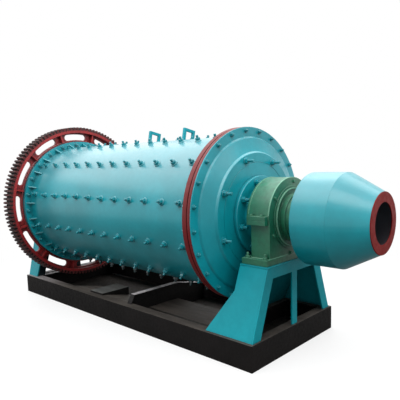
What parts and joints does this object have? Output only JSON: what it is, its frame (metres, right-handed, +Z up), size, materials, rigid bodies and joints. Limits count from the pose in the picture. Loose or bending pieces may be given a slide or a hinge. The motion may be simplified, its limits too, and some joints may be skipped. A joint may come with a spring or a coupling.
{
  "type": "ball mill",
  "caption": "Horizontal ball mill: bolted drum with a girth gear, hollow trunnions in two pedestal bearings on stands, a coned discharge barrel and a welded channel base.",
  "frame": {"origin": "on the floor, under the middle of the whole length, in the vertical plane of the mill's axis", "axes": "+X along the mill's axis towards the discharge end, +Z up, -Y the side with the deck plate"},
  "size_m": [4.993, 2.0478, 2.2439],
  "materials": {
    "drum_teal": "satin enamel",
    "gear_red": "satin enamel, oxide red",
    "bearing_green": "satin enamel",
    "base_black": "dusty black paint",
    "gasket_rubber": "matt"
  },
  "bodies": {
    "frame": {"base_bay_plate": "base_black", "base_beam_discharge": "base_black", "base_beam_far": "base_black", "base_beam_feed": "base_black", "base_beam_near": "base_black", "base_cross_beam_discharge": "base_black", "base_cross_beam_feed": "base_black", "base_cross_wall": "base_black", "base_floor_plates": "base_black", "deck_pad": "base_black", "deck_plate": "base_black", "discharge_bearing_base": "bearing_green", "discharge_bearing_cap": "bearing_green", "discharge_bearing_inner_cover": "bearing_green", "discharge_bearing_outer_cover": "bearing_green", "discharge_stand_back_plate": "drum_teal", "discharge_stand_front_frame": "drum_teal", "discharge_stand_side_far": "drum_teal", "discharge_stand_side_near": "drum_teal", "discharge_stand_top_plate": "drum_teal", "feed_bearing_base": "bearing_green", "feed_bearing_cap": "bearing_green", "feed_bearing_inner_cover": "bearing_green", "feed_bearing_outer_cover": "bearing_green", "feed_stand_back_plate": "drum_teal", "feed_stand_front_frame": "drum_teal", "feed_stand_side_far": "drum_teal", "feed_stand_side_near": "drum_teal", "feed_stand_top_plate": "drum_teal"},
    "mill": {"drum_shell": "drum_teal", "drum_flange_feed": "drum_teal", "drum_flange_discharge": "gear_red", "drum_handles": "drum_teal", "head_gasket": "gasket_rubber", "ring_gear": "gear_red", "feed_head": "drum_teal", "feed_trunnion": "drum_teal", "discharge_head": "drum_teal", "discharge_trunnion": "drum_teal", "discharge_barrel": "drum_teal", "discharge_cone": "drum_teal", "discharge_mouth_ring": "gear_red"}
  },
  "joints": [
    {"name": "mill_rotation", "type": "hinge", "parent": "frame", "child": "mill", "pos_m": [0, 0, 1.22], "axis": [1, 0, 0], "continuous": true}
  ]
}
